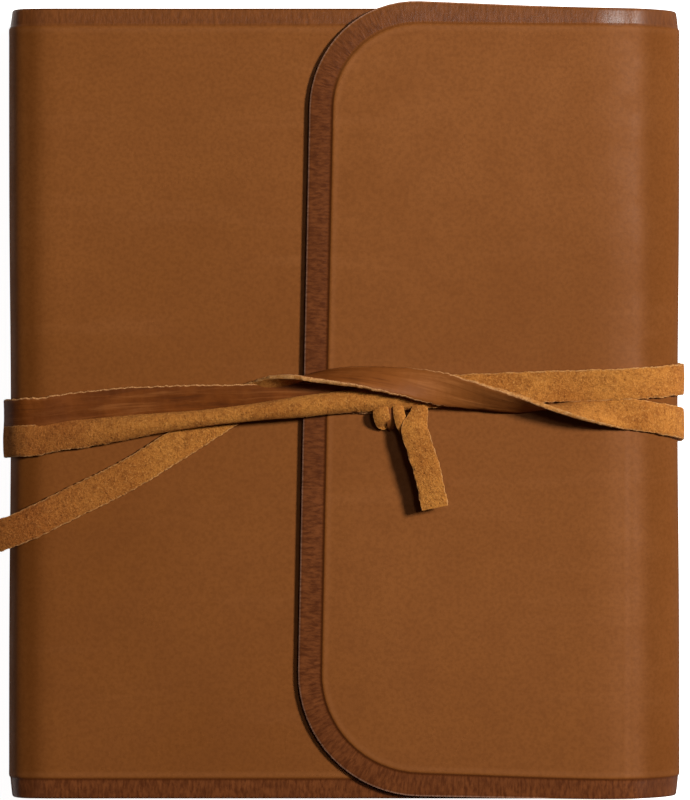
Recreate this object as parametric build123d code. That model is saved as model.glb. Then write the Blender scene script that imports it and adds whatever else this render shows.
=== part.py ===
"""Leather notebook cover: one hide that wraps a sewn refill, closes with a flap and is tied with a flat strap.

The book lies closed on its back. +X runs from the spine to the fore-edge, +Y to the head of the page and +Z
from the back cover to the front. The origin is on the table, under the middle of the cover. Millimetres.
"""

import os
from math import cos, pi, radians

from build123d import *

# Driving dimensions
HEIGHT = 229.0  # hide, head to tail
WIDTH = 196.0  # closed cover, outside of the spine to outside of the fore-edge
HIDE = 2.0  # leather of the cover and flap
POCKET = 1.0  # leather of the inner pockets
CARD = 0.8  # card covers of the refill
STRAP_WIDTH = 9.2
STRAP = 1.8  # strap leather
GAP = 0.1  # air between neighbouring layers
SPINE_RADIUS = 8.0  # outside of each spine corner

# Refill
PAGE_WIDTH = 174.0
PAGE_HEIGHT = 214.0
SECTIONS = 8  # folded sections of paper, half of them in front of the middle opening
SECTION = 2.3  # thickness of one section
SECTION_FOLD = 1.1  # radius of a section's fold
SPINE_TO_PAGES = 4.0  # outside of the spine to the folds of the sections
LINING = 0.4  # cloth glued over the folds
LINING_TO_PAGES = 0.5
THREAD_RADIUS = 0.18
THREAD_STATIONS = (-90.0, -30.0, 30.0, 90.0)
CLOTH_HEIGHT = 208.0
CLOTH_MARGIN = 1.0  # the cloth stops this short of the first and last pages
CARD_HEIGHT = 218.0
CARD_MARGIN = 0.5  # how far a card reaches past the spine corner, and its clearance in the pocket

# Flap
FLAP_EDGE_HEAD = -9.7  # free edge at the head of the page
FLAP_EDGE_TAIL = -14.3  # free edge at the tail of the page
FLAP_CORNER_HEAD = 32.0
FLAP_CORNER_TAIL = 35.0

# Pockets
POCKET_MOUTH = -20.0  # edge of each pocket, towards the spine
POCKET_RIM = 4.5  # glued margin at head and tail
POCKET_SIDE_RIM = 1.1  # glued margin at the fore-edge

# Strap lines, where the strap goes round the spine and round the fore-edge
SPINE_UPPER = -2.3
SPINE_LOWER = -11.6
FORE_UPPER = 7.1
FORE_LOWER = -6.1
LOOSE_END_SLOPE = 27.5  # degrees from X at which the loose end leaves the book

# Knot
KNOT_X = (9.0, 25.0)
KNOT_Y = (-10.0, 4.0)
KNOT_STEP_Y = -3.4  # tail side of this, the knot stands clear of the second run and is twice as thick
KNOT_END = ((19.0, -10.1), (26.0, -29.6))  # where the cut end starts and stops
KNOT_END_RISE = 1.6  # height at which it leaves the knot

# Heights of the layers, from the table up
STRAP_LAYER = STRAP + GAP
BACK_OUT = STRAP_LAYER
BACK_IN = BACK_OUT + HIDE
BACK_CARD = BACK_IN + GAP
BACK_POCKET = BACK_CARD + CARD + GAP
PAGES_LOW = BACK_POCKET + POCKET + GAP
PAGES_HIGH = PAGES_LOW + SECTIONS * (SECTION + GAP) - GAP
FRONT_POCKET = PAGES_HIGH + GAP
FRONT_CARD = FRONT_POCKET + POCKET + GAP
FRONT_IN = FRONT_CARD + CARD + GAP
FRONT_OUT = FRONT_IN + HIDE
FLAP_IN = FRONT_OUT + GAP
FLAP_OUT = FLAP_IN + HIDE
ON_FRONT = FRONT_OUT + GAP  # underside of strap that lies on the front cover
ON_FLAP = FLAP_OUT + GAP  # underside of strap that lies on the flap

# Bends of the hide
FORE_RADIUS = (FLAP_OUT - BACK_OUT) / 2
FORE_X = WIDTH / 2 - FORE_RADIUS
FORE_Z = BACK_OUT + FORE_RADIUS
SPINE_X = SPINE_RADIUS - WIDTH / 2
SPINE_LOW_Z = BACK_OUT + SPINE_RADIUS
SPINE_HIGH_Z = FRONT_OUT - SPINE_RADIUS
SPINE_OUT = -WIDTH / 2
PAGES_X = SPINE_OUT + SPINE_TO_PAGES


def block(x0, x1, y0, y1, z0, z1):
    """A box between two corners."""
    size = Box(x1 - x0, y1 - y0, z1 - z0)
    return Pos((x0 + x1) / 2, (y0 + y1) / 2, (z0 + z1) / 2) * size


def sheet(x0, x1, height, z0, thickness):
    """A flat layer, centred between head and tail."""
    return block(x0, x1, -height / 2, height / 2, z0, z0 + thickness)


def tube(x, z, outer, thickness, width, y=0.0):
    """A tube about a line along Y, to be cut down to a bend."""
    outside = Cylinder(outer, width, rotation=(90, 0, 0))
    inside = Cylinder(outer - thickness, width, rotation=(90, 0, 0))
    return Pos(x, y, z) * (outside - inside)


def around_spine(radius, thickness, width, y=0.0):
    """A band that goes round both corners of the spine; radius is its outside at each corner."""
    reach = 2 * radius
    low_corner = block(SPINE_X - reach, SPINE_X, y - width, y + width, SPINE_LOW_Z - reach, SPINE_LOW_Z)
    high_corner = block(SPINE_X - reach, SPINE_X, y - width, y + width, SPINE_HIGH_Z, SPINE_HIGH_Z + reach)
    low = tube(SPINE_X, SPINE_LOW_Z, radius, thickness, width, y) & low_corner
    high = tube(SPINE_X, SPINE_HIGH_Z, radius, thickness, width, y) & high_corner
    outside = SPINE_X - radius
    wall = block(outside, outside + thickness, y - width / 2, y + width / 2, SPINE_LOW_Z, SPINE_HIGH_Z)
    return low + wall + high


def around_fore_edge(radius, thickness, width, y=0.0):
    """A half-round band about the fore-edge; radius is its outside."""
    reach = 2 * radius
    half = block(FORE_X, FORE_X + reach, y - width, y + width, FORE_Z - reach, FORE_Z + reach)
    return tube(FORE_X, FORE_Z, radius, thickness, width, y) & half


def flap():
    """The part of the hide that lies over the front cover, with two rounded corners."""
    half = HEIGHT / 2
    outline = make_face(
        Polyline((FORE_X, -half), (FORE_X, half), (FLAP_EDGE_HEAD, half), (FLAP_EDGE_TAIL, -half), close=True)
    )
    free = outline.vertices().sort_by(Axis.X)[:2].sort_by(Axis.Y)
    outline = fillet(free[1], FLAP_CORNER_HEAD)
    tail_corner = outline.vertices().sort_by(Axis.Y)[:2].sort_by(Axis.X)[0]
    outline = fillet(tail_corner, FLAP_CORNER_TAIL)
    return Pos(0, 0, FLAP_IN) * extrude(outline, HIDE)


def pocket(leaf_z, cover_z):
    """A sleeve: a leaf of thin leather whose rims close the gap to the inside of the cover."""
    low = min(leaf_z, cover_z)
    high = max(leaf_z + POCKET, cover_z)
    half = HEIGHT / 2
    leaf = sheet(POCKET_MOUTH, FORE_X, HEIGHT, leaf_z, POCKET)
    head = block(POCKET_MOUTH, FORE_X, half - POCKET_RIM, half, low, high)
    tail = block(POCKET_MOUTH, FORE_X, -half, POCKET_RIM - half, low, high)
    side = block(FORE_X - POCKET_SIDE_RIM, FORE_X, -half, half, low, high)
    return leaf + head + tail + side


def section(number):
    """One folded section of the refill, counted from the back cover, with its fold at the spine."""
    low = PAGES_LOW + number * (SECTION + GAP)
    paper = sheet(PAGES_X, PAGES_X + PAGE_WIDTH, PAGE_HEIGHT, low, SECTION)
    fold_edges = paper.faces().sort_by(Axis.X)[0].edges().filter_by(Axis.Y)
    return fillet(fold_edges, SECTION_FOLD)


def binding_thread():
    """The sewing thread where it crosses the folds, one length at each station."""
    length = PAGES_HIGH - PAGES_LOW - SECTION
    middle = (PAGES_LOW + PAGES_HIGH) / 2
    x = PAGES_X - LINING_TO_PAGES / 2
    return Compound([Pos(x, y, middle) * Cylinder(THREAD_RADIUS, length) for y in THREAD_STATIONS])


def ribbon(stations, along="X", width=STRAP_WIDTH):
    """Flat strap through (x, y, underside z) stations, square to X or to Y at each of them."""
    normal = (1, 0, 0) if along == "X" else (0, 1, 0)
    across = (0, 1, 0) if along == "X" else (1, 0, 0)
    cuts = []
    for x, y, z in stations:
        plane = Plane(origin=(x, y, z + STRAP / 2), x_dir=across, z_dir=normal)
        cuts.append(plane * Rectangle(width, STRAP))
    strap = loft(cuts[:2], ruled=True)
    for start, end in zip(cuts[1:], cuts[2:]):
        strap += loft([start, end], ruled=True)
    return strap


def strap_under_back(y_spine, y_fore):
    """A straight run under the back cover, flat on the table."""
    half = STRAP_WIDTH / 2
    corners = [
        (SPINE_X, y_spine - half),
        (FORE_X, y_fore - half),
        (FORE_X, y_fore + half),
        (SPINE_X, y_spine + half),
    ]
    return extrude(make_face(Polyline(*corners, close=True)), STRAP)


def strap_on_front():
    """The three runs over the front, stacked where they cross, and the loose end that comes out below them."""
    second = ON_FLAP + STRAP + GAP
    third = second + STRAP + GAP
    over_tail = ON_FRONT + STRAP + GAP
    first_run = [
        (SPINE_X, SPINE_UPPER, ON_FRONT),
        (-62.0, -1.5, ON_FRONT),
        (-50.0, -1.1, over_tail),
        (-16.0, 0.2, ON_FLAP),
        (8.0, 1.2, ON_FLAP),
    ]
    second_run = [
        (SPINE_X, SPINE_LOWER, ON_FRONT),
        (-78.0, SPINE_LOWER, over_tail),
        (-66.0, -6.5, second),
        (-48.0, -3.5, second),
        (-22.0, -2.5, second),
        (-4.8, 0.9, second),
        (30.0, 2.3, second),
        (70.0, 5.2, second),
        (FORE_X, FORE_UPPER, ON_FLAP),
    ]
    third_run = [
        (-12.0, 6.0, third),
        (24.3, 4.9, third),
        (50.7, 0.9, third),
        (66.0, -4.7, third),
        (FORE_X, FORE_LOWER, ON_FLAP),
    ]
    loose_end = [
        (-15.0, 7.5, ON_FRONT),
        (-56.0, -16.5, ON_FRONT),
        (-91.7, -35.0, ON_FRONT),
        (-103.0, -39.5, ON_FRONT - 3.0),
        (-120.0, -45.0, 14.0),
        (-136.0, -49.0, 1.0),
    ]
    diagonal = STRAP_WIDTH / cos(radians(LOOSE_END_SLOPE))
    return {
        "strap_first_run": ribbon(first_run),
        "strap_second_run": ribbon(second_run),
        "strap_third_run": ribbon(third_run),
        "strap_loose_end": ribbon(loose_end, width=diagonal),
    }


def strap_knot():
    """The knot that holds the strap on the flap: low under the second run, proud of it below."""
    under = block(*KNOT_X, KNOT_STEP_Y, KNOT_Y[1], ON_FLAP, ON_FLAP + STRAP)
    proud = block(*KNOT_X, KNOT_Y[0], KNOT_STEP_Y, ON_FLAP, ON_FLAP + 2 * STRAP)
    return under + proud


def strap_knot_end():
    """The short cut end that sticks out of the knot."""
    start, stop = KNOT_END
    return ribbon([(*start, ON_FLAP + KNOT_END_RISE), (*stop, ON_FLAP)], along="Y")


def hide_parts():
    """The hide, part by part between its fold lines."""
    return {
        "back_panel": sheet(SPINE_X, FORE_X, HEIGHT, BACK_OUT, HIDE),
        "spine_panel": around_spine(SPINE_RADIUS, HIDE, HEIGHT),
        "front_panel": sheet(SPINE_X, FORE_X, HEIGHT, FRONT_IN, HIDE),
        "fore_edge_panel": around_fore_edge(FORE_RADIUS, HIDE, HEIGHT),
        "flap_panel": flap(),
        "back_pocket": pocket(BACK_POCKET, BACK_IN),
        "front_pocket": pocket(FRONT_POCKET, FRONT_IN),
    }


def refill_parts():
    """The notebook in the pockets: two card covers, sewn sections, thread and spine cloth."""
    card_x0 = SPINE_X - CARD_MARGIN
    card_x1 = FORE_X - POCKET_SIDE_RIM - CARD_MARGIN
    cloth_x = PAGES_X - LINING_TO_PAGES - LINING
    cloth_low = PAGES_LOW + CLOTH_MARGIN
    cloth_high = PAGES_HIGH - CLOTH_MARGIN
    half_cloth = CLOTH_HEIGHT / 2
    parts = {
        "refill_back_card": sheet(card_x0, card_x1, CARD_HEIGHT, BACK_CARD, CARD),
        "refill_front_card": sheet(card_x0, card_x1, CARD_HEIGHT, FRONT_CARD, CARD),
        "spine_cloth": block(cloth_x, cloth_x + LINING, -half_cloth, half_cloth, cloth_low, cloth_high),
        "binding_thread": binding_thread(),
    }
    for number in range(SECTIONS):
        parts[f"page_section_{number + 1}"] = section(number)
    return parts


def strap_parts():
    """The strap: twice round the book and tied to the flap."""
    outside_spine = SPINE_RADIUS + STRAP_LAYER
    outside_fore = FORE_RADIUS + STRAP_LAYER
    parts = {
        "strap_back_upper": strap_under_back(SPINE_UPPER, FORE_UPPER),
        "strap_back_lower": strap_under_back(SPINE_LOWER, FORE_LOWER),
        "strap_spine_upper": around_spine(outside_spine, STRAP, STRAP_WIDTH, SPINE_UPPER),
        "strap_spine_lower": around_spine(outside_spine, STRAP, STRAP_WIDTH, SPINE_LOWER),
        "strap_fore_upper": around_fore_edge(outside_fore, STRAP, STRAP_WIDTH, FORE_UPPER),
        "strap_fore_lower": around_fore_edge(outside_fore, STRAP, STRAP_WIDTH, FORE_LOWER),
        "strap_knot": strap_knot(),
        "strap_knot_end": strap_knot_end(),
    }
    parts.update(strap_on_front())
    return parts


def fold_axes():
    """Where the hide folds, as (x, z): on the diagonal of each bend, so that the bend lies flat when it opens."""
    spine_arc = (SPINE_RADIUS - HIDE / 2) * pi / 4
    fore_arc = (FORE_RADIUS - HIDE / 2) * pi / 4
    return {
        "spine_fold": (SPINE_X - spine_arc, SPINE_LOW_Z - spine_arc),
        "front_fold": (SPINE_X - spine_arc, SPINE_HIGH_Z + spine_arc),
        "fore_edge_fold": (FORE_X + fore_arc, FORE_Z - fore_arc),
        "flap_fold": (FORE_X + fore_arc, FORE_Z + fore_arc),
        "pages_turn": (PAGES_X - LINING_TO_PAGES - LINING, (PAGES_LOW + PAGES_HIGH) / 2),
    }


def main():
    os.makedirs("parts", exist_ok=True)
    parts = {**hide_parts(), **refill_parts(), **strap_parts()}
    for name, shape in parts.items():
        export_step(shape, f"parts/{name}.step")
    print(len(parts), "nodes")
    for name, (x, z) in fold_axes().items():
        print(f"{name}: x {x:.3f}, z {z:.3f}")


main()
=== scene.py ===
"""Looks of the leather notebook cover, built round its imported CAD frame.

Lengths are in millimetres until a mesh is made, and in metres in materials, lights and the camera. The hide
is described on its own outer surface: s runs from the front cover's free edge over the front, the spine, the
back, the fore-edge and the flap; y runs to the head.
"""

import math
import random

import bpy
import numpy as np
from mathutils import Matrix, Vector, noise


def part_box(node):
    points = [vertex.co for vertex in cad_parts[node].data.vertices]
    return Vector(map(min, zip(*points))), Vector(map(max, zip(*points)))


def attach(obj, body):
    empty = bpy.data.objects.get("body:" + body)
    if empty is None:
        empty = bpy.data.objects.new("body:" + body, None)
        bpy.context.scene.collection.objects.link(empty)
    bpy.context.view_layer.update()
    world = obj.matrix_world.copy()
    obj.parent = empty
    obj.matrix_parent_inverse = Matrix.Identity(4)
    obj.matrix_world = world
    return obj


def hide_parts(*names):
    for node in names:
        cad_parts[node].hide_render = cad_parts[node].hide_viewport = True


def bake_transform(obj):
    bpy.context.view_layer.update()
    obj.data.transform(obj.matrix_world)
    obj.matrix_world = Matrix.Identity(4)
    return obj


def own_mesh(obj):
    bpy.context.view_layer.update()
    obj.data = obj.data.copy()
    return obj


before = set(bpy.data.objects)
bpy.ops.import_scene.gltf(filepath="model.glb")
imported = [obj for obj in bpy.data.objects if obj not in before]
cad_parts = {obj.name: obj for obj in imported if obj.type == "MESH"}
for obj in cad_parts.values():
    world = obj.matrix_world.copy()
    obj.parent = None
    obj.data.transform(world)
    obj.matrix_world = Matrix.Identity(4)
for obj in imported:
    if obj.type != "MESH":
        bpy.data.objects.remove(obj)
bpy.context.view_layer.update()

MM = 0.001


def node_box(name):
    """Lowest and highest corner of a CAD node, in millimetres."""
    low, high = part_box(name)
    return np.array(low) / MM, np.array(high) / MM


# Sizes and places, from the frame
back_low, back_high = node_box("back_panel")
front_low, front_high = node_box("front_panel")
flap_low, flap_high = node_box("flap_panel")
strap_low, strap_high = node_box("strap_back_upper")
HALF = back_high[1]
HIDE = back_high[2] - back_low[2]
SPINE_X = back_low[0]
FORE_X = back_high[0]
BACK_OUT = back_low[2]
FRONT_OUT = front_high[2]
FLAP_OUT = flap_high[2]
SPINE_R = SPINE_X - node_box("spine_panel")[0][0]
FORE_R = (FLAP_OUT - BACK_OUT) / 2
FORE_Z = (FLAP_OUT + BACK_OUT) / 2
SPINE_LOW_Z = BACK_OUT + SPINE_R
SPINE_HIGH_Z = FRONT_OUT - SPINE_R
STRAP = strap_high[2] - strap_low[2]

# Lengths along the hide
FRONT_LENGTH = FORE_X - SPINE_X
CORNER_LENGTH = math.pi / 2 * SPINE_R
WALL_LENGTH = SPINE_HIGH_Z - SPINE_LOW_Z
WALL_START = FRONT_LENGTH + CORNER_LENGTH
BACK_START = WALL_START + WALL_LENGTH + CORNER_LENGTH
FORE_START = BACK_START + FRONT_LENGTH
FLAP_START = FORE_START + math.pi * FORE_R

# The folds: two bodies, and the (x, z) lines between which the leather turns from one to the other
SPINE_FRONT_FOLD = ("spine", "front_cover", (SPINE_X - SPINE_R, SPINE_HIGH_Z), (SPINE_X, FRONT_OUT))
SPINE_BACK_FOLD = ("back_cover", "spine", (SPINE_X, BACK_OUT), (SPINE_X - SPINE_R, SPINE_LOW_Z))
FORE_BACK_FOLD = ("back_cover", "fore_edge", (FORE_X, BACK_OUT), (FORE_X + FORE_R, FORE_Z))
FORE_FRONT_FOLD = ("fore_edge", "flap", (FORE_X + FORE_R, FORE_Z), (FORE_X, FLAP_OUT))

# The flap's outline
FLAP_EDGE_SLANT = 4.6  # how much further the free edge reaches at the tail than at the head
FLAP_EDGE_HEAD = flap_low[0] + FLAP_EDGE_SLANT * 0.85  # the rest of the slant is lost in the tail corner
FLAP_CORNER_HEAD = 32.0
FLAP_CORNER_TAIL = 35.0
FLAP_SKEW = 1.85  # the flap is drawn a little towards the head
FLAP_SPREAD = 0.65  # and its head end a little more
FLAP_SKEW_RUN = 90.0  # from the fore-edge to where all of that is reached
FLAP_LIFT = 0.75  # the free edge stands a little off the front cover
FLAP_LIFT_START = 45.0  # where the flap begins to rise
FLAP_LIFT_RUN = 60.0

# The pressed border: its width on the flap's free edge, and beside the folds at the head and the tail
BORDER = 6.7
BORDER_HEAD = 5.1
BORDER_TAIL = 5.8
PRESS_DEPTH = 0.38
BORDER_FALL = 0.6  # how far the border slopes down to the cut edge
BORDER_WIDENING = 75.0  # length beside the flap over which the border grows to its full width
BORDER_OFFSETS = (0.0, 0.2, 0.5, 1.0, 2.2, 3.6, 4.4, 4.8, 5.2, 5.6, 6.0, 6.4, 6.8, 7.2, 7.6, 8.2, 9.0, 10.0)

WAIST = 0.5  # how far the tied strap draws in the spine and the fore-edge
WAIST_Y = -3.0
WAIST_REACH = 42.0
SAG = 1.2  # how far the flap has come down where it reaches the fore-edge
SAG_RUN = 12.3  # and how far from there it begins to
COVER_EDGE_X = FORE_X - 2.4  # the front cover's edge, which shows through the flap
COVER_EDGE_RIDGE = 0.035
FOLD_SINK = 0.45  # how far the hide sinks at the spine's front fold
SKIVE = 0.55  # how much thinner the hide is inside the spine's two folds
SKIVE_REACH = 4.0


def smooth(t):
    """0 to 1 with a soft start and end, as t goes from 0 to 1."""
    t = min(max(t, 0.0), 1.0)
    return t * t * (3 - 2 * t)


def bell(x, middle, reach):
    """1 at the middle, falling softly to nothing on both sides."""
    return math.exp(-(((x - middle) / reach) ** 2))


def srgb(red, green, blue):
    """A display colour, 0 to 255, as the linear RGBA that Blender's nodes take."""
    linear = []
    for value in (red, green, blue):
        share = value / 255
        linear.append(share / 12.92 if share <= 0.04045 else ((share + 0.055) / 1.055) ** 2.4)
    return (*linear, 1.0)


# ---- materials


class Nodes:
    """Adds nodes to a material and joins them."""

    def __init__(self, name):
        self.material = bpy.data.materials.new(name)
        self.material.use_nodes = True
        self.tree = self.material.node_tree
        self.shader = self.tree.nodes["Principled BSDF"]
        self.here = self.add("TexCoord").outputs["Object"]

    def add(self, kind, inputs=(), **settings):
        node = self.tree.nodes.new("ShaderNode" + kind)
        for key, value in settings.items():
            setattr(node, key, value)
        for socket, value in dict(inputs).items():
            self.put(node, socket, value)
        return node

    def put(self, node, socket, value):
        if isinstance(value, bpy.types.NodeSocket):
            self.tree.links.new(value, node.inputs[socket])
        else:
            node.inputs[socket].default_value = value

    def set(self, **inputs):
        for socket, value in inputs.items():
            self.put(self.shader, socket.replace("_", " "), value)

    def finish(self, colour, roughness, normal, specular):
        """Gives the shader its look and returns the finished material."""
        self.set(Base_Color=colour, Roughness=roughness, Normal=normal, Specular_IOR_Level=specular)
        return self.material

    def stretch(self, x, y, z):
        return self.add("Mapping", {"Vector": self.here, "Scale": (x, y, z)}).outputs["Vector"]

    def noise(self, scale, detail, rough=0.55, distortion=0.0, at=None):
        inputs = {"Scale": scale, "Detail": detail, "Roughness": rough, "Distortion": distortion}
        inputs["Vector"] = self.here if at is None else at
        return self.add("TexNoise", inputs).outputs["Fac"]

    def patches(self, scale, detail):
        """Soft patches of 0 and 1."""
        return self.ramp(self.noise(scale, detail), 0.3, 0.7)

    def bands(self, scale, distortion, direction):
        inputs = {"Vector": self.here, "Scale": scale, "Distortion": distortion}
        return self.add("TexWave", inputs, bands_direction=direction).outputs["Fac"]

    def attribute(self, name):
        return self.add("Attribute", attribute_name=name).outputs["Fac"]

    def math(self, operation, a, b=0.0):
        node = self.add("Math", operation=operation)
        self.put(node, 0, a)
        self.put(node, 1, b)
        return node.outputs[0]

    def times(self, a, b):
        return self.math("MULTIPLY", a, b)

    def ramp(self, value, low, high, bottom=0.0, top=1.0):
        """value from low..high, mapped smoothly to bottom..top."""
        inputs = {"Value": value, "From Min": low, "From Max": high, "To Min": bottom, "To Max": top}
        return self.add("MapRange", inputs, interpolation_type="SMOOTHSTEP").outputs["Result"]

    def mix(self, share, a, b, blend="MIX"):
        """Blends two colours, each a socket or a display colour."""
        node = self.add("Mix", data_type="RGBA", blend_type=blend)
        self.put(node, 0, share)
        for socket, colour in ((6, a), (7, b)):
            self.put(node, socket, srgb(*colour) if isinstance(colour, tuple) else colour)
        return node.outputs[2]

    def bump(self, height, distance, strength, normal=None):
        inputs = {"Height": height, "Distance": distance, "Strength": strength}
        if normal is not None:
            inputs["Normal"] = normal
        return self.add("Bump", inputs).outputs["Normal"]

    def blend_value(self, share, a, b):
        return self.add("Mix", {0: share, 2: a, 3: b}, data_type="FLOAT").outputs[0]

    def split(self, vector):
        return self.add("SeparateXYZ", {"Vector": vector}).outputs

    def combine(self, x, y):
        return self.add("CombineXYZ", {"X": x, "Y": y}).outputs[0]


def leather_field(n, mottle, fine):
    """Tan: cloudy, mottled and finely grained, with pale streaks along the width, darker towards the tail."""
    x_place, y_place, _ = n.split(n.here)
    pull = n.noise(1, 4, at=n.stretch(14, 120, 14))
    field = n.mix(n.patches(9, 3), (124, 71, 27), (134, 79, 34))
    field = n.mix(n.times(mottle, 0.3), field, (113, 61, 18))
    field = n.mix(n.ramp(pull, 0.55, 0.8, 0, 0.25), field, (146, 90, 47))
    field = n.mix(n.ramp(fine, 0.35, 0.7, 0, 0.34), field, (98, 52, 12))
    # Darker towards the tail and towards the spine side.
    toward_head_and_fore_edge = n.math("ADD", y_place, n.times(x_place, 0.25))
    return n.mix(n.ramp(toward_head_and_fore_edge, -0.13, 0.03, 0.2, 0), field, (92, 47, 13))


def leather_border(n, mottle, lines, facing_head):
    """Darker and redder, with fine cross lines, and painted light: paler where it slopes towards the head."""
    border = n.mix(n.ramp(lines, 0.3, 0.7), (80, 39, 16), (119, 66, 32))
    border = n.mix(n.times(mottle, 0.35), border, (84, 42, 18))
    # Painted light: the border is paler where its surface faces the head, as if lit from there.
    return n.mix(n.ramp(facing_head, 0, 0.16, 0, 0.4), border, (134, 79, 32))


def leather_marks(n, colour, inside, lines, facing_head):
    """The marks along the border line: painted shade in its crease, weaker where the crease faces the head,
    and a painted highlight on the lip beside it; the folds' darker tone with painted shade; and the hide's
    two kinds of rim, a pale one on the flap and a rim of painted shade on the front.
    """
    # Painted shade in the pressed step of the border, weaker where the step faces the head.
    crease = n.times(n.ramp(inside, -0.0007, -0.0001), n.ramp(inside, 0, 0.0005, 1, 0))
    crease = n.times(crease, n.ramp(facing_head, 0, 0.2, 0.65, 0.12))
    colour = n.mix(crease, colour, (78, 35, 8))
    # Painted highlight on the raised lip beside the step.
    lip = n.times(n.ramp(inside, 0.0003, 0.0010), n.ramp(inside, 0.0012, 0.0026, 1, 0))
    colour = n.mix(n.times(lip, 0.1), colour, (166, 108, 66))
    # The folds' darker tone, with painted shade along the fore-edge's round.
    colour = n.mix(n.times(n.attribute("fold"), 0.58), colour, (60, 28, 7))
    # Painted shade along the front cover's outline.
    colour = n.mix(n.attribute("dark_rim"), colour, (40, 22, 11))
    pale_rim = n.times(n.attribute("pale_rim"), n.ramp(lines, 0.3, 0.7, 0.3, 1))
    return n.mix(pale_rim, colour, (208, 158, 130))


def leather_bumps(n, fine, cross_lines):
    """Pores, fine grain, scratches and the border's cross lines."""
    pores = n.add("TexVoronoi", {"Vector": n.here, "Scale": 1500}, feature="SMOOTH_F1").outputs["Distance"]
    scratch = n.noise(1, 2, 0.5, 1.5, n.stretch(35, 420, 35))
    normal = n.bump(pores, 0.00003, 0.4)
    normal = n.bump(fine, 0.00002, 0.4, normal)
    normal = n.bump(n.ramp(scratch, 0.62, 0.72), 0.00002, 0.35, normal)
    return n.bump(cross_lines, 0.00012, 0.7, normal)


def cover_leather():
    """Oiled full-grain leather with a pressed border. Its folds are dull; its border shines at the head."""
    n = Nodes("cover_leather")
    facing_head = n.split(n.add("NewGeometry").outputs["Normal"])[1]
    mottle = n.ramp(n.noise(70, 6, 0.62), 0.32, 0.68)
    fine = n.noise(900, 3, 0.6)
    inside = n.attribute("inside_border")
    along = n.times(n.attribute("edge_along"), 1100)
    lines = n.noise(1, 4, 0.62, at=n.combine(along, n.times(n.attribute("edge_distance"), 330)))
    in_border = n.ramp(inside, -0.0003, 0.0003, 1, 0)
    field = leather_field(n, mottle, fine)
    colour = n.mix(in_border, field, leather_border(n, mottle, lines, facing_head))
    colour = leather_marks(n, colour, inside, lines, facing_head)
    normal = leather_bumps(n, fine, n.times(lines, in_border))
    gloss = n.math("SUBTRACT", 1, n.attribute("fold"))
    roughness = n.blend_value(in_border, n.ramp(mottle, 0, 1, 0.5, 0.6), 0.31)
    roughness = n.blend_value(gloss, 0.75, roughness)
    border_shine = n.ramp(n.attribute("polish"), 0, 1, 0.25, 1)
    shine = n.times(n.blend_value(in_border, 0.11, border_shine), gloss)
    return n.finish(colour, roughness, normal, shine)


def flesh_leather():
    """The inside of the hide: brushed, paler and matt."""
    n = Nodes("flesh_leather")
    nap = n.noise(1400, 5, 0.7)
    colour = n.mix(n.patches(45, 5), (150, 101, 58), (172, 122, 74))
    colour = n.mix(n.ramp(nap, 0.35, 0.7, 0, 0.4), colour, (124, 80, 44))
    n.set(Sheen_Weight=0.25, Sheen_Roughness=0.5)
    return n.finish(colour, 0.92, n.bump(nap, 0.00025, 0.7), 0.2)


def cut_edge():
    """A raw cut edge: pale, pinkish and fibrous."""
    n = Nodes("cut_edge")
    fibre = n.noise(1800, 4, 0.7)
    colour = n.mix(n.ramp(fibre, 0.35, 0.68), (112, 68, 40), (188, 134, 92))
    return n.finish(colour, 0.85, n.bump(fibre, 0.00015, 0.8), 0.25)


def suede():
    """The strap's split side: orange tan nap, darker round the spine, paler where its edges are frayed."""
    n = Nodes("strap_suede")
    nap = n.noise(1700, 5, 0.75)
    clump = n.noise(560, 5, 0.7)
    colour = n.mix(n.patches(60, 3), (164, 99, 39), (183, 118, 50))
    colour = n.mix(n.ramp(clump, 0.42, 0.66, 0, 0.55), colour, (118, 62, 20))
    colour = n.mix(n.ramp(nap, 0.5, 0.72, 0, 0.7), colour, (214, 152, 80))
    colour = n.mix(n.ramp(nap, 0.3, 0.47, 0.85, 0), colour, (84, 42, 16))
    # Darker towards the spine end of the strap.
    toward_spine_end = n.ramp(n.split(n.here)[0], -0.085, -0.05, 1, 0)
    colour = n.mix(toward_spine_end, colour, (222, 210, 211), "MULTIPLY")
    aside = n.math("ABSOLUTE", n.attribute("across"))
    frayed = n.times(n.ramp(aside, 0.0040, 0.0044), n.ramp(clump, 0.42, 0.6, 0.1, 0.6))
    colour = n.mix(frayed, colour, (222, 168, 108))
    normal = n.bump(nap, 0.0005, 0.9)
    normal = n.bump(clump, 0.0005, 0.7, normal)
    n.set(Sheen_Weight=0.12, Sheen_Roughness=0.4, Sheen_Tint=srgb(255, 180, 100))
    return n.finish(colour, 0.95, normal, 0.12)


def strap_grain():
    """The strap's waxed side: dark brown with creases that run along it."""
    n = Nodes("strap_grain")
    along = n.times(n.attribute("along"), 45)
    lengthwise = n.combine(along, n.times(n.attribute("across"), 620))
    crease = n.noise(1, 4, 0.6, 0.6, lengthwise)
    mottle = n.noise(160, 5, 0.6)
    colour = n.mix(n.ramp(mottle, 0.3, 0.7), (94, 46, 12), (112, 58, 18))
    x_place = n.split(n.here)[0]
    colour = n.mix(n.ramp(x_place, -0.02, 0.03, 0, 0.55), colour, (146, 87, 40))
    streaks = n.times(n.ramp(crease, 0.5, 0.75), n.ramp(x_place, -0.02, 0.03, 0.38, 0.68))
    colour = n.mix(streaks, colour, (158, 98, 50))
    colour = n.mix(n.ramp(crease, 0.3, 0.45, 0.5, 0), colour, (70, 33, 9))
    normal = n.bump(crease, 0.0003, 0.5)
    normal = n.bump(n.noise(1100, 3), 0.00005, 0.6, normal)
    return n.finish(colour, 0.5, normal, 0.1)


def strap_edge():
    """The strap's cut edge: fibrous, tan with dark gaps."""
    n = Nodes("strap_edge")
    fibre = n.noise(2400, 4, 0.7)
    colour = n.mix(n.ramp(fibre, 0.3, 0.66), (128, 78, 38), (202, 148, 96))
    return n.finish(colour, 0.9, n.bump(fibre, 0.0002, 0.7), 0.15)


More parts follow.
